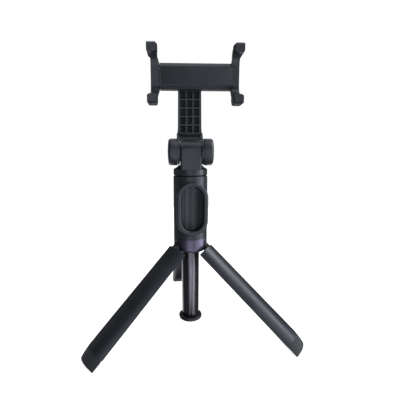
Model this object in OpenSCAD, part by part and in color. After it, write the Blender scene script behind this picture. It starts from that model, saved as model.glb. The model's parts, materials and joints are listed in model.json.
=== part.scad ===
// Pocket selfie stick with three folding tripod legs, a four-stage telescopic column,
// a tilting neck and a sprung phone clamp. Millimetres, +Z up, legs spread on the ground.
// The origin is on the ground, under the middle of the whole footprint.
// Sub-parts are drawn about the column's axis, with z = 0 where the shell meets the ring.

/* [Handle] */
// Outside diameter of the closed handle, shell and ring
handle_d = 27.5; // [26.5:0.5:29]
// Height of the upper shell
shell_h = 50.3; // [49:0.1:54]
// Wall of the upper shell
shell_wall = 1.6; // [1.2:0.1:1.8]
// Height of the metal ring round the leg hinges
ring_h = 10.9; // [10.5:0.1:11.5]

/* [Legs] */
// How far each leg opens from closed, in degrees
leg_spread = 48.8; // [20:0.1:52]
// Length of a leg below its hinge pin, with the foot
leg_len = 108.2; // [98:0.1:110]
// Wall of a leg
leg_wall = 2.95; // [2.4:0.05:3]
// Half of the arc that one leg covers
leg_half = 58.5; // [55:0.5:59]
// Length of a rubber foot
foot_len = 9.4; // [6:0.1:12]

/* [Column] */
// Outside diameter of the fixed post tube
post_d = 14.6; // [14.4:0.1:14.6]
// Depth of the post's end face below the ring's top
post_drop = 71.9; // [68:0.1:75]
// Diameter of the post's end cap
post_cap_d = 19.7; // [17:0.1:19.8]
// Travel of each telescopic stage
stage_travel = 80; // [60:1:80]

/* [Remote cradle] */
// Width of the raised bezel
bezel_w = 24.66; // [23:0.1:24.8]
// Height of the raised bezel
bezel_h = 42.4; // [36:0.1:43]
// Width of the raised rim
bezel_rim = 3.5; // [2.5:0.1:4]
// Distance of the bezel's face from the column's axis
bezel_front = 16.4; // [15.5:0.1:16.5]

/* [Head] */
// How far the head is turned on the column, in degrees
head_turn = -4; // [-45:1:45]
// Height of the tilt axis
hinge_z = 69.2; // [68.5:0.1:72]
// Distance of the tilt axis in front of the column's axis
hinge_fwd = 5; // [4.9:0.1:5.4]
// Width of the tongue between the neck's ears
tongue_w = 16.4; // [14:0.1:16.6]
// Diameter of the round hinge caps
cap_d = 20.8; // [18:0.1:21]
// Width over both hinge caps
head_w = 35.9; // [32:0.1:38]

/* [Neck] */
// Width of the neck at the swivel
neck_w = 19.2; // [18:0.1:20]
// Width of the neck at the foot of its waffle
neck_foot_w = 20.1; // [19.5:0.1:21]
// Columns of the neck's waffle
cell_cols = 3; // [2:1:4]
// Rows of the neck's waffle
cell_rows = 5; // [3:1:5]

/* [Clamp] */
// Height of the clamp's centre
clamp_z = 130; // [128:0.1:131]
// Height of the clamp's bar
bar_h = 20.2; // [18:0.1:21]
// Height of a jaw, tip to tip
jaw_h = 45.6; // [44:0.1:48]
// Inner face of the sliding jaw's hooks, left of the swivel
slide_in = 26.5; // [26.2:0.1:27.5]
// Inner face of the fixed jaw's hooks, right of the swivel
fixed_in = 34.9; // [34.5:0.1:36]
// Width of a jaw
jaw_w = 7.4; // [6.8:0.1:8]
// How far the sliding jaw pulls out
jaw_travel = 33; // [25:1:34]
// Depth of the hooks in front of the phone's rest face
hook_depth = 8.5; // [8:0.1:11]

/* [Hidden] */
$fn = 64;

// Clearance of a running fit, of a press or screw fit, and between parts that stay apart
fit = 0.05;
tight = 0.02;
gap = 0.3;
// A cut's overrun
over = 1;

// Handle and leg hinges
ring_wall = 1.4;
ring_hole_r = 8.2;
core_gap = 0.1;
shell_edge = 0.6;
shell_roof = 2;
handle_r = handle_d / 2;
shell_in = handle_r - shell_wall;
ring_in = handle_r - ring_wall;
core_r = ring_in - core_gap;
pivot_r = 9.9;
pivot_z = -4.4;
pin_r = 0.9;
pin_len = 11.6;
knuckle_r = 2.2;
knuckle_w = 6;
slot_w = knuckle_w + 2 * gap;
slot_x0 = 6;
roof_z = -3.2;
lip_t = 1;
ring_round = 2.5;
core_top = 4;
boss_r = 2.3;
boss_h = 8;
screw_top = 11.2;
screw_r = 1;
screw_head_r = 1.8;
screw_head_h = 1.5;
screw_sink = 3;
screw_az = [-120, 120];

// Legs: each is a third of a tube, drawn closed and then swung out
leg_az = [-60, 60, 180];
leg_sunk = 0.2;
foot_sunk = 0.2;
tab_z = -24;
leg_out = handle_r - leg_sunk;
leg_in = leg_out - leg_wall;
leg_top = -ring_h - gap;
leg_end = pivot_z - leg_len;
foot_out = leg_out - foot_sunk;
foot_in = leg_in + foot_sunk;
foot_half = leg_half - 0.9;
stub_inset = 0.5;
stub_half = leg_half - 6;
foot_crown_r = 34;
foot_drop = foot_crown_r - sqrt(foot_crown_r * foot_crown_r - foot_len * foot_len);
foot_tip = foot_out - foot_drop;
foot_round = 0.6;
foot_stub = 4.6;

// Ground height and footprint, from the swung-out feet
spread_s = sin(leg_spread);
spread_c = cos(leg_spread);
foot_dx = foot_in * cos(foot_half) - pivot_r;
stand_h = -(pivot_z + foot_dx * spread_s - leg_len * spread_c);
rear_reach = pivot_r + (foot_tip - foot_round - pivot_r) * spread_c
           + (leg_len - foot_round) * spread_s + foot_round;
side_u = 0.5 * spread_c * cos(foot_half) + cos(30) * sin(foot_half);
side_v = 0.5 * spread_s;
front_reach = 0.5 * pivot_r * (1 - spread_c) + (foot_tip - foot_round) * side_u
            + (leg_len - foot_round) * side_v + foot_round * sqrt(side_u * side_u + side_v * side_v);
axis_y = (front_reach - rear_reach) / 2;

// Column: the post tube and four rods inside one another
post_r = post_d / 2;
post_wall = 0.85;
post_top = 47.5;
cap_t = 3.2;
plug_h = 5;
rod_r = [6.15, 5.2, 4.25, 3.3];
rod_wall = 0.65;
rod_top = 48.4;
rod_overlap = 31;
rod_foot = rod_top - stage_travel - rod_overlap;
glide_h = 7;
crown_h = 1.4;
groove_w = 1.8;
groove_d = 0.35;
bush_r = 7.9;
bush_flange_r = 9.3;
bush_flange_h = 3;
bush_z0 = 45.2;
cap_edge = 1.2;

// Remote cradle
bezel_mid = 24.9;
bezel_edge = 0.9;
pocket_mid = 25.2;
pocket_w = bezel_w - 2 * bezel_rim;
pocket_h = bezel_h - 2 * bezel_rim;
pocket_floor_r = 11;
pocket_floor_y = -8.6;
cradle_back = -6;

// Head
collar_r = handle_r - 0.15;
collar_z0 = shell_h + 0.2;
collar_z1 = 56.4;
collar_edge = 1.3;
rod_4_top = collar_z1 - 1.5;
root_r = 9.6;
root_z = 58.9;
hinge_y = -hinge_fwd;
tongue_r = 9.5;
tongue_z0 = 55.3;
bolt_r = 2.5;
washer_t = 0.25;
washer_r = 7.5;
bolt_head_r = 4.2;
bolt_head_h = 3;
bolt_end = -14.2;
tilt_nut_r = 4.6;
tilt_nut_h = 3.2;
ear_in = tongue_w / 2 + 0.35;
ear_out = ear_in + 1.7;
ear_r = 9.7;
cap_in = ear_out + 0.1;
cap_out = head_w / 2;
cap_r = cap_d / 2;
cap_wall = 1.4;
cap_face_t = 2.6;
cap_round = 2.2;
cap_dome = 0.5;
tongue_edge = 1.8;

// Neck: a waffle plate behind the clamp, on two arms that reach forward to the hinge
neck_y = 16.7;
neck_t = 5.4;
neck_back = neck_y + neck_t;
arm_x = 11;
arm_top = 85.6;
foot_z = 78.6;
flare_z = 89.4;
cell_d = 3;
cell_rib = 1.35;
cell_edge = 1.75;
cell_pitch_z = 6.95;
cell_z0 = 86.1;
cell_w = (neck_w - 2 * cell_edge - (cell_cols - 1) * cell_rib) / cell_cols;
swivel_r = 2;
swivel_head_r = 4;
swivel_floor = 19.2;
swivel_face_r = 7.5;
swivel_face_h = 0.25;
swivel_end = 11;
swivel_nut_r = 3.5;
swivel_nut_h = 2.4;

// Clamp
bar_y0 = 8;
bar_y1 = 16.4;
bar_split = 12.2;
bar_x0 = -24.4;
bar_chamfer_z = 2.7;
bar_chamfer_y = 2.2;
bar_wall = 1.5;
jaw_front = bar_y0 - hook_depth;
jaw_web_y = 8.6;
jaw_back = 16;
hook_h = 7.2;
mouth_round = 8.5;
waist = 2.4;
waist_z = 17;
waist_r = 4;
jaw_flare_z = 17.5;
jaw_edge = 1.2;
jaw_nose = 4.3;
web_x1 = -24.75;
rod_y = 12.2;
guide_dz = 6;
guide_r = 1.2;
guide_stop_r = 1.95;
spring_r = 1.85;
spring_wire = 0.28;
spring_x0 = -21.3;
spring_solid = 17.2;
spring_x1 = spring_x0 + jaw_travel + spring_solid;
guide_end = spring_x1 + 1.7;
spring_turns = 11;
spring_sides = 5;
spring_steps = 8;
pad_t = 0.8;
inlay_t = 0.8;
boss_x = [-17, 26];
boss_pin_r = 2.2;
clamp_screw_r = 0.8;
clamp_head_r = 1.55;
jaw_rod_x0 = -28.4;
pad_inset = 1.6;
pad_w = 6;
pad_h = 5.2;
// Larger than the clamp, for a block that keeps one half of it
big = 100;

// ---- shared shapes ----

module placed() {
    translate([0, axis_y, stand_h]) children();
}

// Carries the head's pieces, which turn together on the column
module turned() {
    placed() rotate([0, 0, head_turn]) children();
}

// Rectangle with rounded corners
module rounded(x0, y0, x1, y1, r) {
    translate([x0 + r, y0]) square([x1 - x0 - 2 * r, y1 - y0]);
    translate([x0, y0 + r]) square([x1 - x0, y1 - y0 - 2 * r]);
    for (x = [x0 + r, x1 - r], y = [y0 + r, y1 - r])
        translate([x, y]) circle(r);
}

module stadium(w, h) {
    square([w, h - w], center = true);
    for (s = [-1, 1])
        translate([0, s * (h - w) / 2]) circle(w / 2);
}

module tube(r, wall, z0, z1) {
    translate([0, 0, z0]) difference() {
        cylinder(r = r, h = z1 - z0);
        translate([0, 0, -over]) cylinder(r = r - wall, h = z1 - z0 + 2 * over);
    }
}

// Shape in the side view (y right, z up), given thickness along x
module from_side(x0, x1) {
    translate([x0, 0, 0])
        rotate([90, 0, 90]) linear_extrude(x1 - x0) children();
}

// Shape in the front view (x right, z up), given thickness along y
module from_front(y0, y1) {
    translate([0, y1, 0])
        rotate([90, 0, 0]) linear_extrude(y1 - y0) children();
}

module along_x(x0, x1, r) {
    translate([x0, 0, 0]) rotate([0, 90, 0]) cylinder(r = r, h = x1 - x0);
}

module along_y(y0, y1, r) {
    translate([0, y0, 0]) rotate([-90, 0, 0]) cylinder(r = r, h = y1 - y0);
}

// Carries its children to the azimuth of leg i, with +X pointing outward
module at_leg(i) {
    rotate([0, 0, leg_az[i] - 90]) children();
}

// Swings a leg drawn closed out to its spread place
module swung(i) {
    at_leg(i) translate([pivot_r, 0, pivot_z]) rotate([0, -leg_spread, 0])
        translate([-pivot_r, 0, -pivot_z]) children();
}

// Places of the two screws that hold the shell, the hub and the ring together
module at_screws() {
    for (a = screw_az) rotate([0, 0, a - 90]) translate([pivot_r, 0, 0]) children();
}

// ---- hub ----

module hub_core() {
    color("#1d1e21") placed() difference() {
        union() {
            translate([0, 0, -ring_h + lip_t + fit]) cylinder(r = core_r, h = ring_h - lip_t - fit);
            cylinder(r = shell_in - gap / 2, h = core_top);
        }
        translate([0, 0, -ring_h]) cylinder(r = post_r + tight, h = ring_h + core_top + over);
        for (i = [0 : 2]) at_leg(i) {
            translate([slot_x0, -slot_w / 2, -ring_h - over])
                cube([handle_r, slot_w, ring_h + over + pivot_z + knuckle_r + gap]);
            translate([pivot_r, -handle_r, pivot_z]) rotate([-90, 0, 0])
                cylinder(r = pin_r + tight, h = handle_d);
        }
        at_screws() {
            translate([0, 0, -ring_h]) cylinder(r = screw_r + fit, h = ring_h + core_top + over);
            translate([0, 0, -ring_h]) cylinder(r = screw_head_r + gap / 2, h = screw_sink);
        }
    }
}

module hub_ring() {
    color("#4c4757") placed() difference() {
        rotate_extrude() difference() {
            union() {
                translate([ring_hole_r, -ring_h]) square([handle_r - ring_round - ring_hole_r, ring_h]);
                translate([ring_hole_r, -ring_h + ring_round])
                    square([handle_r - ring_hole_r, ring_h - ring_round]);
                translate([handle_r - ring_round, -ring_h + ring_round]) circle(ring_round);
            }
            translate([0, -ring_h + lip_t]) square([ring_in, ring_h]);
        }
        for (i = [0 : 2]) at_leg(i)
            translate([slot_x0, -slot_w / 2, -ring_h - over])
                cube([handle_r, slot_w, ring_h + over + roof_z]);
    }
}

module hub_screws() {
    head_z = screw_sink - gap / 2 - screw_head_h;
    color("silver") placed() at_screws() {
        translate([0, 0, -ring_h + head_z]) cylinder(r = screw_head_r, h = screw_head_h);
        translate([0, 0, -ring_h + head_z + over])
            cylinder(r = screw_r, h = ring_h - head_z - over + screw_top);
    }
}

module leg_pins() {
    color("silver") placed() for (i = [0 : 2]) at_leg(i)
        translate([pivot_r, -pin_len / 2, pivot_z]) rotate([-90, 0, 0]) cylinder(r = pin_r, h = pin_len);
}

// ---- legs and feet ----

// Side view of the hinge tab that joins a leg to its pin, outward to the right
module knuckle_outline() {
    translate([pivot_r, pivot_z]) circle(knuckle_r);
    polygon([[pivot_r - knuckle_r, pivot_z], [pivot_r + knuckle_r, pivot_z],
             [pivot_r + knuckle_r, leg_top + 1.4], [leg_out - 1, leg_top - 0.2],
             [leg_out - 1, tab_z], [leg_in - 0.5, tab_z], [leg_in - 1.6, tab_z + 11],
             [pivot_r - knuckle_r, tab_z + 14]]);
}

module leg_sector(r_in, r_out, z0, z1, half) {
    rotate([0, 0, -half]) rotate_extrude(angle = 2 * half)
        translate([r_in, z0]) square([r_out - r_in, z1 - z0]);
}

module leg(i) {
    color("#232428") placed() swung(i) difference() {
        union() {
            leg_sector(leg_in, leg_out, leg_end + foot_len, leg_top, leg_half);
            translate([0, knuckle_w / 2, 0]) rotate([90, 0, 0])
                linear_extrude(knuckle_w) knuckle_outline();
        }
        translate([pivot_r, -knuckle_w, pivot_z]) rotate([-90, 0, 0])
            cylinder(r = pin_r + fit, h = 2 * knuckle_w);
        leg_sector(foot_in + stub_inset, foot_out - stub_inset, leg_end + foot_len - over,
                   leg_end + foot_len + foot_stub + gap, stub_half);
    }
}

// Rubber foot: its outside curves in towards a softly rounded end, a stub goes up into the leg
module foot(i) {
    color("#34363c") placed() swung(i) {
        rotate([0, 0, -foot_half]) rotate_extrude(angle = 2 * foot_half) {
            intersection() {
                translate([foot_out - foot_crown_r, leg_end + foot_len]) circle(foot_crown_r, $fn = 256);
                translate([foot_in, leg_end + foot_round])
                    square([handle_r, foot_len - foot_round - fit]);
            }
            translate([foot_in, leg_end]) square([foot_tip - foot_round - foot_in, foot_len / 2]);
            translate([foot_tip - foot_round, leg_end + foot_round]) circle(foot_round);
        }
        leg_sector(foot_in + stub_inset + fit, foot_out - stub_inset - fit, leg_end + foot_len - 2,
                   leg_end + foot_len + foot_stub, stub_half - 0.4);
    }
}

module leg_left() { leg(0); }
module leg_right() { leg(1); }
module leg_rear() { leg(2); }
module foot_left() { foot(0); }
module foot_right() { foot(1); }
module foot_rear() { foot(2); }

// ---- column ----

// Drawn tube with a shallow groove down its front
module post_tube() {
    color("#3b3742") placed() difference() {
        tube(post_r, post_wall, -post_drop + cap_t, post_top);
        translate([-groove_w / 2, -post_r - over, -post_drop])
            cube([groove_w, over + groove_d, post_drop + post_top + over]);
    }
}

module post_cap() {
    cap_disc_r = post_cap_d / 2;
    color("#1d1e21") placed() {
        rotate_extrude() {
            translate([0, -post_drop]) square([cap_disc_r - cap_edge, cap_t - fit]);
            translate([0, -post_drop + cap_edge]) square([cap_disc_r, cap_t - fit - 2 * cap_edge]);
            for (z = [cap_edge, cap_t - fit - cap_edge])
                translate([cap_disc_r - cap_edge, -post_drop + z]) circle(cap_edge);
        }
        translate([0, 0, -post_drop + over])
            cylinder(r = post_r - post_wall - 0.03, h = cap_t + plug_h - over);
    }
}

module rod(i) {
    color("#8d8f96") placed() tube(rod_r[i], rod_wall, rod_foot, i == 3 ? rod_4_top : rod_top);
}

// Plastic glide on the lower end of rod i, which runs inside the tube outside it
module rod_glide(i) {
    bore = i == 0 ? post_r - post_wall : rod_r[i - 1] - rod_wall;
    color("#d8d8d4") placed()
        tube(bore - fit, bore - fit - rod_r[i] - 0.01, rod_foot, rod_foot + glide_h);
}

// Crown ring on the upper end of rod i, which guides the rod inside it
module rod_ring(i) {
    color("#1d1e21") placed()
        tube(rod_r[i], rod_r[i] - rod_r[i + 1] - fit, rod_top + tight, rod_top + crown_h);
}

module rod_1() { rod(0); }
module rod_2() { rod(1); }
module rod_3() { rod(2); }
module rod_4() { rod(3); }
module rod_1_glide() { rod_glide(0); }
module rod_2_glide() { rod_glide(1); }
module rod_3_glide() { rod_glide(2); }
module rod_4_glide() { rod_glide(3); }
module rod_1_ring() { rod_ring(0); }
module rod_2_ring() { rod_ring(1); }
module rod_3_ring() { rod_ring(2); }

// Bush in the shell's top, on the end of the post tube
module top_bush() {
    color("#1d1e21") placed() difference() {
        union() {
            translate([0, 0, bush_z0]) cylinder(r = bush_flange_r, h = bush_flange_h);
            translate([0, 0, bush_z0]) cylinder(r = bush_r, h = shell_h - bush_z0 - 0.1);
        }
        translate([0, 0, bush_z0 - over]) cylinder(r = rod_r[0] + fit, h = shell_h);
        translate([0, 0, bush_z0 - over])
            cylinder(r = post_r + 0.03, h = post_top - bush_z0 + over + fit);
    }
}

// ---- upper shell and remote cradle ----

module body_shell() {
    color("#232428") placed() difference() {
        union() {
            difference() {
                rotate_extrude() {
                    translate([0, core_gap]) square([handle_r - shell_edge, shell_h - core_gap]);
                    translate([0, core_gap]) square([handle_r, shell_h - core_gap - shell_edge]);
                    translate([handle_r - shell_edge, shell_h - shell_edge]) circle(shell_edge);
                }
                translate([0, 0, -over]) cylinder(r = shell_in, h = shell_h - shell_roof + over);
            }
            at_screws() translate([0, 0, core_top + core_gap]) cylinder(r = boss_r, h = boss_h);
        }
        translate([0, 0, shell_h - 2 * shell_roof]) cylinder(r = bush_r + tight, h = 3 * shell_roof);
        at_screws() translate([0, 0, core_top])
            cylinder(r = screw_r + tight, h = screw_top - core_top + 0.2);
        translate([0, 0, bezel_mid]) from_front(-handle_d, cradle_back + tight)
            stadium(bezel_w + 0.04, bezel_h + 0.04);
    }
}

module remote_cradle() {
    color("#2a2b30") placed() difference() {
        translate([0, 0, bezel_mid]) {
            from_front(bezel_edge - bezel_front, cradle_back) stadium(bezel_w, bezel_h);
            hull() {
                from_front(-bezel_front, -bezel_front + 0.1)
                    stadium(bezel_w - 2 * bezel_edge, bezel_h - 2 * bezel_edge);
                from_front(bezel_edge - bezel_front, bezel_edge - bezel_front + 0.1)
                    stadium(bezel_w, bezel_h);
            }
        }
        translate([0, 0, -over]) cylinder(r = post_r + gap, h = shell_h);
        translate([0, 0, -over]) cylinder(r = shell_in, h = core_top + core_gap + over);
        translate([0, 0, bush_z0 - core_gap]) cylinder(r = bush_flange_r + core_gap, h = shell_h);
        translate([0, 0, pocket_mid]) intersection() {
            from_front(-handle_d, 0) stadium(pocket_w, pocket_h);
            translate([0, pocket_floor_y - pocket_floor_r, 0])
                cylinder(r = pocket_floor_r, h = bezel_h, center = true);
        }
    }
}

// ---- head ----

// Collar on the innermost rod, with a sloping root up to the tongue that the neck tilts on
module head_base() {
    color("#232428") turned() difference() {
        union() {
            rotate_extrude() {
                translate([0, collar_z0]) square([collar_r - collar_edge, collar_z1 - collar_z0]);
                translate([0, collar_z0 + collar_edge])
                    square([collar_r, collar_z1 - collar_z0 - 2 * collar_edge]);
                for (z = [collar_z0 + collar_edge, collar_z1 - collar_edge])
                    translate([collar_r - collar_edge, z]) circle(collar_edge);
                polygon([[0, collar_z1 - 1], [collar_r - collar_edge + 0.4, collar_z1 - 0.1],
                         [root_r + 1, collar_z1 + 1.2], [root_r, root_z], [0, root_z]]);
            }
            intersection() {
                from_side(-tongue_w / 2, tongue_w / 2) {
                    translate([hinge_y, hinge_z]) circle(tongue_r);
                    translate([hinge_y - tongue_r, tongue_z0])
                        square([2 * tongue_r, hinge_z - tongue_z0]);
                }
                from_front(-30, 30)
                    rounded(-tongue_w / 2, tongue_z0, tongue_w / 2, hinge_z + 20, tongue_edge);
                linear_extrude(hinge_z + 20)
                    rounded(-tongue_w / 2, hinge_y - tongue_r,
                            tongue_w / 2, hinge_y + tongue_r, tongue_edge);
            }
        }
        translate([0, 0, collar_z0 - over])
            cylinder(r = rod_r[3] + tight, h = rod_4_top + fit - collar_z0 + over);
        translate([0, hinge_y, hinge_z]) along_x(-tongue_w, tongue_w, bolt_r + fit);
    }
}

module tilt_bolt() {
    color("silver") turned() translate([0, hinge_y, hinge_z]) {
        along_x(bolt_end, ear_out + 0.2, bolt_r);
        along_x(ear_out + 0.1, ear_out + 0.1 + bolt_head_h, bolt_head_r);
    }
}

module tilt_nut() {
    nut_x = -ear_out - 0.1 - tilt_nut_h;
    color("silver") turned() translate([nut_x, hinge_y, hinge_z]) rotate([0, 90, 0]) difference() {
        cylinder(r = tilt_nut_r, h = tilt_nut_h, $fn = 6);
        translate([0, 0, -over]) cylinder(r = bolt_r + tight, h = tilt_nut_h + 2 * over);
    }
}

module tilt_washers() {
    color("#1d1e21") turned() for (s = [0, 1]) translate([0, hinge_y, hinge_z]) mirror([s, 0, 0])
        difference() {
            along_x(tongue_w / 2 + fit, tongue_w / 2 + fit + washer_t, washer_r);
            along_x(0, tongue_w, bolt_r + 0.1);
        }
}

// Round cover over the hinge bolt's end, hollow inside, with a slightly domed face
module hinge_cap(s) {
    face_r = cap_r - cap_round;
    dome_r = (face_r * face_r + cap_dome * cap_dome) / (2 * cap_dome);
    color("#2a2b30") turned() translate([0, hinge_y, hinge_z]) mirror([s < 0 ? 1 : 0, 0, 0])
        rotate([0, 90, 0]) rotate_extrude() difference() {
            union() {
                translate([0, cap_in]) square([cap_r, cap_out - cap_dome - cap_in - cap_round]);
                translate([0, cap_in]) square([face_r, cap_out - cap_dome - cap_in]);
                translate([face_r, cap_out - cap_dome - cap_round]) circle(cap_round);
                intersection() {
                    translate([0, cap_out - dome_r]) circle(dome_r, $fn = 256);
                    translate([0, cap_in]) square([face_r, cap_out - cap_in]);
                }
            }
            translate([0, cap_in - over])
                square([cap_r - cap_wall, cap_out - cap_in - cap_face_t + over]);
            translate([-cap_d, cap_in - over]) square([cap_d, cap_d]);
        }
}

module hinge_cap_left() { hinge_cap(-1); }
module hinge_cap_right() { hinge_cap(1); }

// ---- neck ----

// Side view of one arm, from the hinge back and up to the plate
module arm_outline() {
    polygon([[hinge_y, hinge_z], [hinge_y - 1.7, hinge_z + ear_r - 0.15], [neck_y - 6, arm_top - 5],
             [neck_y, arm_top], [neck_back, arm_top], [neck_back, 83.5], [neck_y + 2.5, 79.4],
             [hinge_y + 8.4, hinge_z - 4.9]]);
}

// Front view of the plate: tapered, widening at its foot, round at the swivel
module plate_outline() {
    polygon([[-arm_x, foot_z], [arm_x, foot_z], [arm_x, foot_z + 1.5], [neck_foot_w / 2, flare_z],
             [neck_w / 2, clamp_z], [-neck_w / 2, clamp_z], [-neck_foot_w / 2, flare_z],
             [-arm_x, foot_z + 1.5]]);
    translate([0, clamp_z]) circle(neck_w / 2);
}

module neck() {
    color("#232428") turned() difference() {
        union() {
            for (s = [0, 1]) mirror([s, 0, 0]) {
                from_side(ear_in, ear_out) {
                    translate([hinge_y, hinge_z]) circle(ear_r);
                    arm_outline();
                }
                // Above the caps the arms are as wide as the plate's foot
                from_side(ear_out - 0.1, arm_x) difference() {
                    arm_outline();
                    translate([hinge_y, hinge_z]) circle(cap_r + gap);
                }
            }
            from_front(neck_y, neck_back) plate_outline();
            // Sloping bridge between the arms, under the waffle
            from_side(-ear_in - 0.1, ear_in + 0.1)
                polygon([[neck_back - 1, 85], [neck_y, 84.9],
                         [neck_y - 3.5, 81.8], [neck_y - 3.5, foot_z],
                         [neck_back - 1, foot_z]]);
            translate([0, 0, clamp_z]) along_y(neck_y - swivel_face_h, neck_y + 1, swivel_face_r);
        }
        for (r = [0 : cell_rows - 1], c = [0 : cell_cols - 1])
            translate([-neck_w / 2 + cell_edge + c * (cell_w + cell_rib), neck_y - over,
                       cell_z0 + r * cell_pitch_z])
                cube([cell_w, cell_d + over, cell_pitch_z - cell_rib]);
        translate([0, hinge_y, hinge_z]) along_x(-head_w, head_w, bolt_r + tight);
        translate([0, 0, clamp_z]) along_y(neck_y - 2, neck_back + over, swivel_r + fit);
        translate([0, 0, clamp_z]) along_y(swivel_floor, neck_back + over, swivel_head_r + gap);
    }
}

module swivel_screw() {
    color("silver") turned() translate([0, 0, clamp_z]) {
        along_y(swivel_end, swivel_floor + 0.6, swivel_r);
        along_y(swivel_floor + 0.5, neck_back - gap, swivel_head_r);
    }
}

module swivel_nut() {
    color("silver") turned() translate([0, swivel_end + gap, clamp_z]) rotate([-90, 0, 0]) difference() {
        cylinder(r = swivel_nut_r, h = swivel_nut_h, $fn = 6);
        translate([0, 0, -over]) cylinder(r = swivel_r + tight, h = swivel_nut_h + 2 * over);
    }
}

module swivel_washer() {
    color("silver") turned() translate([0, 0, clamp_z]) difference() {
        along_y(swivel_floor + 0.05, swivel_floor + 0.45, swivel_head_r);
        along_y(swivel_floor - 1, swivel_floor + 1, swivel_r + 0.1);
    }
}

// ---- clamp ----

// Side view of the bar, with its chamfered front edges
module bar_outline(inset) {
    h = bar_h / 2 - inset;
    polygon([[bar_y0 + inset, clamp_z - h + bar_chamfer_z], [bar_y0 + inset, clamp_z + h - bar_chamfer_z],
             [bar_y0 + inset + bar_chamfer_y, clamp_z + h], [bar_y1 - inset, clamp_z + h],
             [bar_y1 - inset, clamp_z - h], [bar_y0 + inset + bar_chamfer_y, clamp_z - h]]);
}

// Side view of a jaw: a web with a hook at each end, round a mouth with large rounded corners
module jaw_outline() {
    h = jaw_h / 2;
    difference() {
        translate([0, clamp_z])
            polygon([[jaw_front, h - jaw_edge], [jaw_front + jaw_edge, h], [jaw_back - jaw_nose, h],
                     [jaw_back, h - jaw_nose], [jaw_back, jaw_nose - h], [jaw_back - jaw_nose, -h],
                     [jaw_front + jaw_edge, -h], [jaw_front, jaw_edge - h]]);
        translate([0, clamp_z])
            rounded(jaw_front - 20, hook_h - h, jaw_web_y, h - hook_h, mouth_round);
    }
}

// Front view of a jaw that opens to the right, with a waisted outer edge
module jaw_front_outline(x_in, x_web) {
    translate([0, clamp_z]) difference() {
        union() {
            rounded(x_in - jaw_w, -jaw_h / 2, x_in, jaw_h / 2, jaw_edge);
            polygon([[x_in - jaw_w / 2, -jaw_flare_z], [x_in - 0.3, 1 - jaw_flare_z], [x_web, -bar_h / 2],
                     [x_web, bar_h / 2], [x_in - 0.3, jaw_flare_z - 1], [x_in - jaw_w / 2, jaw_flare_z]]);
        }
        rounded(x_in - jaw_w - jaw_h, -waist_z, x_in - jaw_w + waist, waist_z, waist_r);
    }
}

module fixed_jaw_solid() {
    intersection() {
        from_side(fixed_in - 3, fixed_in + jaw_w + 1) jaw_outline();
        from_front(-20, 40) mirror([1, 0]) jaw_front_outline(-fixed_in, -fixed_in + 1);
    }
}

module bar_screw_holes(r) {
    for (x = boss_x) translate([x, 0, clamp_z]) along_y(9.9, 20, r);
}

module clamp_front() {
    color("#26272b") turned() difference() {
        union() {
            difference() {
                intersection() {
                    from_side(bar_x0, fixed_in + 1) bar_outline(0);
                    translate([-big / 2, 0, clamp_z - bar_h]) cube([big, bar_split - fit, 2 * bar_h]);
                }
                intersection() {
                    from_side(bar_x0 + 3, fixed_in - 1.5) bar_outline(bar_wall);
                    translate([-big / 2, 0, clamp_z - bar_h]) cube([big, bar_split + over, 2 * bar_h]);
                }
            }
            fixed_jaw_solid();
            for (x = boss_x) translate([x, 0, clamp_z]) along_y(9, bar_split - fit, boss_pin_r);
        }
        bar_screw_holes(clamp_screw_r + tight);
        for (s = [-1, 1]) translate([0, rod_y, clamp_z + s * guide_dz])
            along_x(bar_x0 - over, spring_x0 + over, guide_r + fit);
        // Pocket for the rest pad
        from_side(bar_x0 + 1, fixed_in - 1)
            translate([bar_y0 - over, clamp_z - bar_h / 2 + bar_chamfer_z + 0.5])
            square([over + inlay_t - 0.2, bar_h - 2 * bar_chamfer_z - 1]);
        // The fixed jaw's root leaves room for the back cover
        translate([spring_x0, bar_split - fit, clamp_z - bar_h / 2 - fit])
            cube([fixed_in - spring_x0 - 0.5, bar_h, bar_h + 2 * fit]);
    }
}

module clamp_back() {
    color("#232428") turned() difference() {
        union() {
            difference() {
                intersection() {
                    from_side(bar_x0, fixed_in - 0.55) bar_outline(0);
                    translate([-big / 2, bar_split, clamp_z - bar_h]) cube([big, bar_h, 2 * bar_h]);
                }
                intersection() {
                    from_side(bar_x0 + 3, fixed_in - 1.5) bar_outline(bar_wall);
                    translate([-big / 2, bar_split - over, clamp_z - bar_h])
                        cube([big, bar_h, 2 * bar_h]);
                }
            }
            for (x = boss_x) translate([x, 0, clamp_z]) along_y(bar_split, bar_y1, boss_pin_r);
            translate([0, 0, clamp_z]) along_y(13.75, bar_y1, 3.4);
        }
        bar_screw_holes(clamp_screw_r + 0.1);
        for (x = boss_x) translate([x, 0, clamp_z]) along_y(bar_y1 - 1.2, 20, 1.7);
        translate([0, 0, clamp_z]) along_y(8, 20, swivel_r + tight);
        for (s = [-1, 1]) translate([0, rod_y, clamp_z + s * guide_dz])
            along_x(bar_x0 - over, spring_x0 + over, guide_r + fit);
    }
}

module clamp_screws() {
    color("silver") turned() for (x = boss_x) translate([x, 0, clamp_z]) {
        along_y(10.4, bar_y1 - 0.9, clamp_screw_r);
        along_y(bar_y1 - 1.15, bar_y1 - 0.1, clamp_head_r);
    }
}

// Thin rubber inlay that the phone's back rests on
module rest_pad() {
    color("#1a1b1d") turned() from_side(bar_x0 + 1.05, fixed_in - 1.05)
        translate([bar_y0 - 0.2, clamp_z - bar_h / 2 + bar_chamfer_z + 0.55])
            square([inlay_t - 0.05, bar_h - 2 * bar_chamfer_z - 1.1]);
}

// Rubber pads on the inner faces of a pair of hooks
module hook_pads(x, side) {
    for (s = [-1, 1])
        translate([x - (side < 0 ? pad_t : 0), jaw_front + pad_inset,
                   clamp_z + s * (jaw_h - hook_h) / 2 - pad_h / 2])
            cube([pad_t, pad_w, pad_h]);
}

module fixed_jaw_pads() {
    color("#1a1b1d") turned() hook_pads(fixed_in - tight, -1);
}

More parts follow.
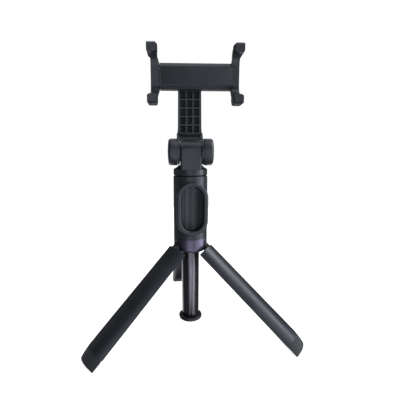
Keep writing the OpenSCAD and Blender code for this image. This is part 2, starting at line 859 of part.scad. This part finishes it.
module sliding_jaw_pads() {
    color("#1a1b1d") turned() hook_pads(-slide_in + tight, 1);
}

module sliding_jaw() {
    color("#26272b") turned() difference() {
        intersection() {
            from_side(-slide_in - jaw_w, web_x1) jaw_outline();
            from_front(-20, 40) jaw_front_outline(-slide_in, web_x1);
        }
        for (s = [-1, 1]) translate([0, rod_y, clamp_z + s * guide_dz])
            along_x(jaw_rod_x0 - 0.1, web_x1 + over, guide_r + tight);
    }
}

module guide_rods() {
    color("silver") turned() for (s = [-1, 1]) translate([0, rod_y, clamp_z + s * guide_dz]) {
        along_x(jaw_rod_x0, guide_end, guide_r);
        along_x(spring_x1 + 0.1, guide_end, guide_stop_r);
    }
}

// Point k of ring i of a coil along x
function coil_point(i, k) = let (
        t = 360 * i / spring_steps,
        run = spring_x1 - spring_x0 - 2 * spring_wire,
        x = spring_x0 + spring_wire + run * i / (spring_turns * spring_steps),
        a = 360 * k / spring_sides,
        r = spring_r + spring_wire * cos(a))
    [x + spring_wire * sin(a), r * cos(t), r * sin(t)];

module coil() {
    rings = spring_turns * spring_steps;
    points = [for (i = [0 : rings], k = [0 : spring_sides - 1]) coil_point(i, k)];
    walls = [for (i = [0 : rings - 1], k = [0 : spring_sides - 1]) let (
                 n = (k + 1) % spring_sides,
                 p = i * spring_sides)
             [p + k, p + spring_sides + k, p + spring_sides + n, p + n]];
    ends = [[for (k = [0 : spring_sides - 1]) k],
            [for (k = [spring_sides - 1 : -1 : 0]) rings * spring_sides + k]];
    polyhedron(points, concat(walls, ends), convexity = 10);
}

module jaw_springs() {
    color("silver") turned() for (s = [-1, 1]) translate([0, rod_y, clamp_z + s * guide_dz]) coil();
}

hub_core();
hub_ring();
hub_screws();
leg_pins();
leg_left();
leg_right();
leg_rear();
foot_left();
foot_right();
foot_rear();
post_tube();
post_cap();
body_shell();
remote_cradle();
top_bush();
rod_1();
rod_2();
rod_3();
rod_4();
rod_1_glide();
rod_2_glide();
rod_3_glide();
rod_4_glide();
rod_1_ring();
rod_2_ring();
rod_3_ring();
head_base();
tilt_bolt();
tilt_nut();
tilt_washers();
hinge_cap_left();
hinge_cap_right();
neck();
swivel_screw();
swivel_nut();
swivel_washer();
clamp_back();
clamp_front();
rest_pad();
clamp_screws();
fixed_jaw_pads();
sliding_jaw();
sliding_jaw_pads();
guide_rods();
jaw_springs();
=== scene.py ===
"""Looks of the pocket tripod selfie stick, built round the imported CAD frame. Metres, row frame."""

import json
import math

import bmesh
import bpy
from mathutils import Matrix, Vector


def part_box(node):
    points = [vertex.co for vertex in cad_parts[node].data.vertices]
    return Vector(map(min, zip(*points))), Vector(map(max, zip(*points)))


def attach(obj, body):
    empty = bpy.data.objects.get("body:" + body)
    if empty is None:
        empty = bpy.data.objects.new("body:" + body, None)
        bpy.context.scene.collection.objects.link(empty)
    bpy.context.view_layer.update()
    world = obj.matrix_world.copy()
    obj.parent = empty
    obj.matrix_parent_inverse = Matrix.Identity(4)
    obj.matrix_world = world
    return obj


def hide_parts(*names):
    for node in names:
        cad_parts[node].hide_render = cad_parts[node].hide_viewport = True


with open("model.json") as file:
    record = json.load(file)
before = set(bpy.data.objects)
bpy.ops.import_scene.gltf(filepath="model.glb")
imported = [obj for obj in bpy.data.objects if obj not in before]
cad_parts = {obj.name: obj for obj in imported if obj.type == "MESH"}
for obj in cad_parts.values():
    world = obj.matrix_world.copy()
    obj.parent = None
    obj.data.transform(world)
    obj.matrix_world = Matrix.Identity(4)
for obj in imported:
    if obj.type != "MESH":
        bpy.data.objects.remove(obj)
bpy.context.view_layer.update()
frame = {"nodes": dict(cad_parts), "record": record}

MM = 0.001
# Closest distance of two corners, and least fold of a real edge, when a CAD mesh is cleaned
MERGE = 0.002 * MM
FLAT = math.radians(0.6)
# Head's turn about the column, as it stands in the CAD model
HEAD_TURN = math.radians(-4)
# Faint cool tint in the gloss of the black plastics and the rubber
GLOSS_TINT = (0.82, 0.885, 1.0, 1)
NODES = frame["nodes"]
BODY_OF = {n: b for b, members in frame["record"]["behaviour"]["bodies"].items() for n in members}
SLOT_OF = {s["node"]: s["material_slot"] for s in frame["record"]["subparts"]}

# The column's axis, and the height where the shell meets the ring
ring_low, ring_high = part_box("rod_1_ring")
AXIS = (ring_low + ring_high) / 2
RING_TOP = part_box("hub_ring")[1].z

# The legs' spread from the post at rest, and the length of a foot below its leg's end
SPREAD = math.radians(48.8)
FOOT_LENGTH = 9.45 * MM


# ---- materials ----

def new_material(name):
    material = bpy.data.materials.new(name)
    material.use_nodes = True
    return material, material.node_tree.nodes, material.node_tree.links


def noise(nodes, links, scale, detail, stretch=(1, 1, 1), distortion=0.0):
    """Noise in the object's own metres, stretched along an axis where it is drawn or brushed."""
    coords = nodes.new("ShaderNodeTexCoord")
    mapping = nodes.new("ShaderNodeMapping")
    mapping.inputs["Scale"].default_value = stretch
    texture = nodes.new("ShaderNodeTexNoise")
    texture.inputs["Scale"].default_value = scale
    texture.inputs["Detail"].default_value = detail
    texture.inputs["Distortion"].default_value = distortion
    links.new(coords.outputs["Object"], mapping.inputs["Vector"])
    links.new(mapping.outputs["Vector"], texture.inputs["Vector"])
    return texture.outputs["Fac"]


def span(nodes, links, value, low, high):
    """Maps the middle of a noise to the range low..high."""
    ranged = nodes.new("ShaderNodeMapRange")
    ranged.inputs["From Min"].default_value = 0.35
    ranged.inputs["From Max"].default_value = 0.65
    ranged.inputs["To Min"].default_value = low
    ranged.inputs["To Max"].default_value = high
    links.new(value, ranged.inputs["Value"])
    return ranged.outputs["Result"]


def tinted(nodes, links, value, dark, light):
    """Colour between dark and light, by a noise."""
    mix = nodes.new("ShaderNodeMix")
    mix.data_type = "RGBA"
    mix.inputs["A"].default_value = (*dark, 1)
    mix.inputs["B"].default_value = (*light, 1)
    links.new(span(nodes, links, value, 0, 1), mix.inputs["Factor"])
    return mix.outputs["Result"]


def bumped(nodes, links, shader, *layers):
    """Adds bump layers of (height, depth in metres) to a shader."""
    last = None
    for height, depth in layers:
        bump = nodes.new("ShaderNodeBump")
        bump.inputs["Strength"].default_value = 1.0
        bump.inputs["Distance"].default_value = depth
        links.new(height, bump.inputs["Height"])
        if last:
            links.new(last.outputs["Normal"], bump.inputs["Normal"])
        last = bump
    links.new(last.outputs["Normal"], shader.inputs["Normal"])


def moulded_plastic(name, dark, light, rough, grain, grain_depth):
    """Spark-eroded moulded plastic: a fine even grain, slow drifts of gloss and colour."""
    material, nodes, links = new_material(name)
    shader = nodes["Principled BSDF"]
    shader.inputs["IOR"].default_value = 1.53
    shader.inputs["Specular Tint"].default_value = GLOSS_TINT
    drift = noise(nodes, links, 45, 3)
    cells = noise(nodes, links, grain, 2, distortion=0.3)
    links.new(tinted(nodes, links, drift, dark, light), shader.inputs["Base Color"])
    links.new(span(nodes, links, drift, rough[0], rough[1]), shader.inputs["Roughness"])
    bumped(nodes, links, shader, (cells, grain_depth), (drift, grain_depth * 2))
    return material


def rubber(name, dark, light):
    """Soft moulded rubber: dull, with a dusty bloom and a coarse fine-toothed skin."""
    material, nodes, links = new_material(name)
    shader = nodes["Principled BSDF"]
    shader.inputs["IOR"].default_value = 1.45
    shader.inputs["Specular Tint"].default_value = GLOSS_TINT
    shader.inputs["Sheen Weight"].default_value = 0.06
    shader.inputs["Sheen Roughness"].default_value = 0.6
    bloom = noise(nodes, links, 120, 4)
    teeth = noise(nodes, links, 5200, 2)
    links.new(tinted(nodes, links, bloom, dark, light), shader.inputs["Base Color"])
    links.new(span(nodes, links, bloom, 0.62, 0.78), shader.inputs["Roughness"])
    bumped(nodes, links, shader, (teeth, 0.00003))
    return material


def anodised(name, dark, light, rough, drawn=True):
    """Dyed anodised aluminium, with the fine lines of the die along the tube."""
    material, nodes, links = new_material(name)
    shader = nodes["Principled BSDF"]
    shader.inputs["Metallic"].default_value = 1.0
    lines = noise(nodes, links, 2600, 3, stretch=(1, 1, 0.02 if drawn else 1))
    drift = noise(nodes, links, 60, 2)
    links.new(tinted(nodes, links, drift, dark, light), shader.inputs["Base Color"])
    links.new(span(nodes, links, lines, rough[0], rough[1]), shader.inputs["Roughness"])
    bumped(nodes, links, shader, (lines, 0.000004))
    return material


def plated_steel(name):
    """Nickel-plated turned steel, with the faint scatter of its tool marks."""
    material, nodes, links = new_material(name)
    shader = nodes["Principled BSDF"]
    shader.inputs["Metallic"].default_value = 1.0
    turned = noise(nodes, links, 1800, 3)
    colour = tinted(nodes, links, turned, (0.42, 0.42, 0.43), (0.58, 0.58, 0.57))
    links.new(colour, shader.inputs["Base Color"])
    links.new(span(nodes, links, turned, 0.22, 0.38), shader.inputs["Roughness"])
    bumped(nodes, links, shader, (turned, 0.000004))
    return material


MATERIALS = {
    "handle_plastic": moulded_plastic("handle_plastic", (0.0075, 0.0087, 0.0115), (0.0105, 0.0118, 0.0150),
                                      (0.36, 0.44), 5200, 0.00002),
    "head_plastic": moulded_plastic("head_plastic", (0.0075, 0.0087, 0.0115), (0.0105, 0.0118, 0.0150),
                                    (0.34, 0.42), 5200, 0.00002),
    "satin_plastic": moulded_plastic("satin_plastic", (0.0095, 0.011, 0.014), (0.0125, 0.0142, 0.0178),
                                     (0.38, 0.46), 7600, 0.00001),
    "rubber": rubber("rubber", (0.0075, 0.0088, 0.0118), (0.0115, 0.0131, 0.0168)),
    "ring_aluminium": anodised("ring_aluminium", (0.10, 0.092, 0.145), (0.12, 0.11, 0.175),
                               (0.40, 0.48), drawn=False),
    "post_aluminium": anodised("post_aluminium", (0.115, 0.107, 0.130), (0.135, 0.126, 0.152),
                               (0.22, 0.30)),
    "rod_aluminium": anodised("rod_aluminium", (0.13, 0.12, 0.145), (0.16, 0.15, 0.175), (0.24, 0.34)),
    "glide_plastic": moulded_plastic("glide_plastic", (0.66, 0.66, 0.62), (0.74, 0.74, 0.70),
                                     (0.4, 0.5), 3000, 0.00001),
    "steel": plated_steel("steel"),
}


# The waffle's cells keep the coarse, dull skin of the mould's spark-eroded pits, and get a darker colour
# that is painted shade in the recesses
painted_shade_cells = moulded_plastic("painted_shade_plastic", (0.0055, 0.0065, 0.0085), (0.008, 0.009, 0.0115),
                         (0.66, 0.78), 4200, 0.00003)
painted_shade_cells.node_tree.nodes["Principled BSDF"].inputs["Specular IOR Level"].default_value = 0.42


# ---- mesh helpers ----

def finish_piece(obj, node):
    """Gives a piece its slot's material, puts it on its CAD node's body and lets it stand for the node."""
    obj.data.materials.clear()
    obj.data.materials.append(MATERIALS[SLOT_OF[node]])
    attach(obj, BODY_OF[node])
    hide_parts(node)
    return obj


def object_from(mesh_builder, name):
    """A new object of the scene from a bmesh, which is used up."""
    mesh = bpy.data.meshes.new(name)
    mesh_builder.to_mesh(mesh)
    mesh_builder.free()
    obj = bpy.data.objects.new(name, mesh)
    bpy.context.scene.collection.objects.link(obj)
    return obj


def apply_modifiers(obj):
    """Makes the modified shape the object's own mesh."""
    depsgraph = bpy.context.evaluated_depsgraph_get()
    final = bpy.data.meshes.new_from_object(obj.evaluated_get(depsgraph))
    obj.modifiers.clear()
    old = obj.data
    obj.data = final
    bpy.data.meshes.remove(old)


def smooth_by_angle(obj, degrees=32):
    """Smooth faces, with edges sharper than the angle kept sharp."""
    bm = bmesh.new()
    bm.from_mesh(obj.data)
    for face in bm.faces:
        face.smooth = True
    for edge in bm.edges:
        edge.smooth = len(edge.link_faces) == 2 and edge.calc_face_angle(0) < math.radians(degrees)
    bm.to_mesh(obj.data)
    bm.free()


def rounded(bm, edges, width, segments):
    """Rounds the given edges to width."""
    bmesh.ops.bevel(bm, geom=edges, offset=width, segments=segments, profile=0.5, affect="EDGES",
                    clamp_overlap=False)


def softened(node, width):
    """A new piece with the node's shape and its outward edges rounded to width."""
    fold, shortest = math.radians(28), 1.6 * width
    bm = bmesh.new()
    bm.from_mesh(NODES[node].data)
    bmesh.ops.remove_doubles(bm, verts=bm.verts, dist=MERGE)
    bmesh.ops.dissolve_limit(bm, angle_limit=FLAT, verts=bm.verts, edges=bm.edges)
    sharp = [e for e in bm.edges if len(e.link_faces) == 2 and e.is_convex
             and e.calc_face_angle(0) > fold and e.calc_length() > shortest]
    rounded(bm, sharp, width, 2)
    obj = object_from(bm, node + "_skin")
    smooth_by_angle(obj)
    return finish_piece(obj, node)


def lofted(rings, name):
    """A closed piece through rings of as many points each, capped at both ends."""
    bm = bmesh.new()
    loops = [[bm.verts.new(point) for point in ring] for ring in rings]
    count = len(rings[0])
    for one, two in zip(loops, loops[1:]):
        for i in range(count):
            j = (i + 1) % count
            bm.faces.new((one[i], one[j], two[j], two[i]))
    bm.faces.new(loops[0])
    bm.faces.new(loops[-1])
    bmesh.ops.recalc_face_normals(bm, faces=bm.faces)
    return object_from(bm, name)


# ---- pieces ----

def cradle():
    """The remote's cradle: a stadium frame with soft lips round a pocket whose floor is hollow."""
    low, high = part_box("remote_cradle")
    half_w, half_h = (high.x - low.x) / 2, (high.z - low.z) / 2
    mid = (low + high) / 2
    straight = half_h - half_w
    # Width of the frame round the pocket, and how far the pocket sits above the frame's middle
    rim, rise = 3.5 * MM, 0.3 * MM
    outer_lip, inner_lip, lip_steps = 1.5 * MM, 1.1 * MM, 6
    floor_r, floor_y = 11 * MM, AXIS.y - 19.6 * MM
    turns = 28

    def outline(inset, lift, depth_at):
        """Stadium inset from the frame's edge, each point at the depth that suits its x and z."""
        ring = []
        for side in (1, -1):
            for i in range(turns + 1):
                a = math.pi * i / turns
                x = side * (half_w - inset) * math.cos(a)
                z = side * (straight + (half_w - inset) * math.sin(a))
                ring.append((mid.x + x, depth_at(x, mid.z + z + lift), mid.z + z + lift))
        return ring

    def flat(depth):
        """The same depth behind the frame's front all round."""
        return lambda x, z: low.y + depth

    def hollow(above=0.0):
        """Depth of the pocket's hollow floor, or of a level above it."""
        return lambda x, z: floor_y + math.sqrt(floor_r ** 2 - x ** 2) - above

    # The back keeps clear of the post, of the bush above it and of the hub below it
    post_keep, bush_keep, hub_keep = 7.6 * MM, 9.6 * MM, 12.2 * MM
    bush_from, hub_to = RING_TOP + 45.1 * MM, RING_TOP + 4.12 * MM
    back = 6 * MM

    def behind(x, z):
        keep = bush_keep if z > bush_from else hub_keep if z < hub_to else post_keep
        return AXIS.y - max(back, math.sqrt(max(keep ** 2 - x ** 2, 0)))

    rings = [outline(inset * MM, 0, behind) for inset in (11.9, 9, 6, 4, 2.5, 1.1, 0.95, 0.5, 0.4, 0)]
    for i in range(lip_steps + 1):
        a = math.pi / 2 * i / lip_steps
        rings.append(outline(outer_lip * (1 - math.cos(a)), 0, flat(outer_lip * (1 - math.sin(a)))))
    for i in range(lip_steps + 1):
        a = math.pi / 2 * i / lip_steps
        inset = rim - inner_lip * (1 - math.sin(a))
        rings.append(outline(inset, rise, flat(inner_lip * (1 - math.cos(a)))))
    rings += [outline(rim, rise, hollow(0.6 * MM)), outline(rim + 0.17 * MM, rise, hollow(0.18 * MM))]
    rings += [outline(rim + step * MM, rise, hollow()) for step in (0.6, 1.5, 2.5, 4, 5.5, 7, 8.4)]
    obj = lofted(rings, "remote_cradle_skin")
    smooth_by_angle(obj)
    return finish_piece(obj, "remote_cradle")


def neck():
    """The neck, with the mouth of each waffle cell chamfered so the ribs catch the light."""
    # Millimetres, from the column's axis and the ring's top
    turn = Matrix.Translation((AXIS.x, AXIS.y, RING_TOP)) @ Matrix.Rotation(HEAD_TURN, 4, "Z")
    columns, rows = 3, 5
    cell_w, cell_h, pitch_x, pitch_z = 4.333, 5.6, 5.683, 6.95
    front, first_z, chamfer = 16.7, 86.1, 0.18
    cell_depth, half_waffle, over = 3, 8, 0.2
    bm = bmesh.new()
    for column in range(columns):
        for row in range(rows):
            x = (column - (columns - 1) / 2) * pitch_x
            z = first_z + row * pitch_z + cell_h / 2
            ends = []
            for depth in (-over, chamfer + 0.05):
                w, h = cell_w / 2 + chamfer - depth, cell_h / 2 + chamfer - depth
                ends.append([bm.verts.new(turn @ (Vector((x + i * w, front + depth, z + j * h)) * MM))
                             for i, j in ((-1, -1), (1, -1), (1, 1), (-1, 1))])
            for i in range(4):
                bm.faces.new((ends[0][i], ends[0][(i + 1) % 4], ends[1][(i + 1) % 4], ends[1][i]))
            bm.faces.new(ends[0])
            bm.faces.new(ends[1])
    bmesh.ops.recalc_face_normals(bm, faces=bm.faces)
    cutter = object_from(bm, "cutter")
    bm = bmesh.new()
    bm.from_mesh(NODES["neck"].data)
    bmesh.ops.remove_doubles(bm, verts=bm.verts, dist=MERGE / 2)
    obj = object_from(bm, "neck_skin")
    cut = obj.modifiers.new("cells", "BOOLEAN")
    cut.operation = "DIFFERENCE"
    cut.solver = "EXACT"
    cut.object = cutter
    apply_modifiers(obj)
    bpy.data.objects.remove(cutter)
    smooth_by_angle(obj)
    finish_piece(obj, "neck")
    # The cells' walls and floors take the darker material: painted shade in the recesses
    obj.data.materials.append(painted_shade_cells)
    back = turn.inverted()
    for face in obj.data.polygons:
        at, way = back @ face.center / MM, back.to_3x3() @ face.normal
        depth = at.y - front
        in_cells = at.z > first_z - 1 and abs(at.x) < half_waffle and 0.3 < depth < cell_depth + 0.1
        if in_cells and way.y < 0.5:
            face.material_index = 1
    return obj


def foot(side):
    """A rubber foot, solid across its hollow side below the leg's end."""
    node = "foot_" + side
    corner, fold, shortest = 1.1 * MM, math.radians(50), 1.5 * MM
    low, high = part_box(node)
    out = (low + high) / 2 - AXIS
    out.z = 0
    out.normalize()
    down = out * math.sin(SPREAD) - Vector((0, 0, math.cos(SPREAD)))
    bm = bmesh.new()
    bm.from_mesh(NODES[node].data)
    bmesh.ops.remove_doubles(bm, verts=bm.verts, dist=MERGE)
    tip = max(v.co.dot(down) for v in bm.verts)
    points = [v.co.copy() for v in bm.verts if v.co.dot(down) >= tip - FOOT_LENGTH]
    bm.clear()
    hull = bmesh.ops.convex_hull(bm, input=[bm.verts.new(point) for point in points])
    spare = {g for g in hull["geom_interior"] + hull["geom_unused"] if isinstance(g, bmesh.types.BMVert)}
    bmesh.ops.delete(bm, geom=list(spare), context="VERTS")
    bmesh.ops.dissolve_limit(bm, angle_limit=FLAT, verts=bm.verts, edges=bm.edges)
    sharp = [e for e in bm.edges if e.calc_face_angle(0) > fold and e.calc_length() > shortest]
    rounded(bm, sharp, corner, 3)
    obj = object_from(bm, node + "_skin")
    smooth_by_angle(obj)
    return finish_piece(obj, node)


# Width of the rounded edges, in millimetres
EDGE = {"hub_ring": 0.25, "post_tube": 0.15, "head_base": 0.4, "rest_pad": 0.15, "fixed_jaw_pads": 0.3,
        "sliding_jaw_pads": 0.3, "hinge_cap_left": 0.2, "hinge_cap_right": 0.2, "post_cap": 0.2}
for node_name, edge_mm in EDGE.items():
    softened(node_name, edge_mm * MM)
cradle()
neck()
for leg_side in ("left", "right", "rear"):
    foot(leg_side)

for node_name, node_object in NODES.items():
    if not node_object.hide_render:
        node_object.data.materials.clear()
        node_object.data.materials.append(MATERIALS[SLOT_OF[node_name]])


# ---- floor, light and camera ----

def studio():
    """A round table top of white paper."""
    bm = bmesh.new()
    bmesh.ops.create_circle(bm, cap_ends=True, segments=96, radius=0.6)
    floor = object_from(bm, "floor")
    material, nodes, links = new_material("floor")
    shader = nodes["Principled BSDF"]
    shader.inputs["Roughness"].default_value = 0.7
    shader.inputs["Emission Color"].default_value = (1, 1, 1, 1)
    shader.inputs["Emission Strength"].default_value = 0.9
    paper = noise(nodes, links, 30, 3)
    colour = tinted(nodes, links, paper, (0.86, 0.86, 0.86), (0.90, 0.90, 0.90))
    links.new(colour, shader.inputs["Base Color"])
    floor.data.materials.append(material)
    floor.visible_glossy = False
    floor.visible_shadow = False


def sky():
    """White behind the object, and a dimmer soft surround for its light."""
    world = bpy.data.worlds.new("sky")
    bpy.context.scene.world = world
    world.use_nodes = True
    nodes, links = world.node_tree.nodes, world.node_tree.links
    nodes.clear()
    seen = nodes.new("ShaderNodeBackground")
    seen.inputs["Color"].default_value = (1, 1, 1, 1)
    seen.inputs["Strength"].default_value = 1.0
    lit = nodes.new("ShaderNodeBackground")
    lit.inputs["Color"].default_value = (0.93, 0.95, 1.0, 1)
    lit.inputs["Strength"].default_value = 0.10
    path = nodes.new("ShaderNodeLightPath")
    mix = nodes.new("ShaderNodeMixShader")
    output = nodes.new("ShaderNodeOutputWorld")
    links.new(path.outputs["Is Camera Ray"], mix.inputs["Fac"])
    links.new(lit.outputs["Background"], mix.inputs[1])
    links.new(seen.outputs["Background"], mix.inputs[2])
    links.new(mix.outputs["Shader"], output.inputs["Surface"])


def softbox(name, azimuth, elevation, distance, size, power, target):
    """Square area light; azimuth 0 is in front of the object, and grows to the right seen from there."""
    a, e = math.radians(azimuth), math.radians(elevation)
    way = Vector((math.sin(a) * math.cos(e), -math.cos(a) * math.cos(e), math.sin(e)))
    data = bpy.data.lights.new(name, "AREA")
    data.shape = "RECTANGLE"
    data.size, data.size_y = size
    data.energy = power
    light = bpy.data.objects.new(name, data)
    light.location = target + way * distance
    light.rotation_euler = way.to_track_quat("Z", "Y").to_euler()
    bpy.context.scene.collection.objects.link(light)


def camera():
    """The viewpoint: close to the object, a little to its left and looking down slightly."""
    distance, height = 237.3 * MM, 64.2 * MM
    azimuth, pitch = math.radians(-6.24), math.radians(8.12)
    data = bpy.data.cameras.new("camera")
    data.lens = 26.21
    data.sensor_width = 36
    data.shift_x = 0.024
    data.clip_start = 0.01
    eye = bpy.data.objects.new("camera", data)
    way = Vector((math.sin(azimuth), -math.cos(azimuth), 0))
    eye.location = Vector((AXIS.x, AXIS.y, RING_TOP + height)) + way * distance
    eye.rotation_euler = (math.pi / 2 - pitch, 0, azimuth)
    bpy.context.scene.collection.objects.link(eye)
    bpy.context.scene.camera = eye


studio()
sky()
middle = Vector((AXIS.x, AXIS.y, RING_TOP + 20 * MM))
# Tall boxes in front and at the right draw the bands on the tubes; the surround stays dark
softbox("key", 86, 50, 0.9, (0.4, 0.45), 5.5, middle)
softbox("rim", 74, 6, 1.0, (0.25, 1.2), 8.0, middle)
softbox("strip", 44, -4, 1.0, (0.35, 1.5), 4.0, middle)
softbox("front", -8, -4, 1.1, (0.66, 1.5), 4.3, middle)
softbox("low", 22, -44, 0.9, (0.8, 0.4), 1.4, middle)
softbox("top", 25, 78, 1.1, (0.6, 0.6), 1.6, middle)
softbox("back", 190, 58, 1.2, (0.8, 0.8), 4.0, middle)
softbox("back_low", 188, -38, 1.2, (1.5, 0.6), 4.5, middle)
softbox("side", -112, 14, 1.3, (0.3, 0.9), 0.35, middle)
camera()
bpy.context.scene.view_settings.view_transform = "Standard"
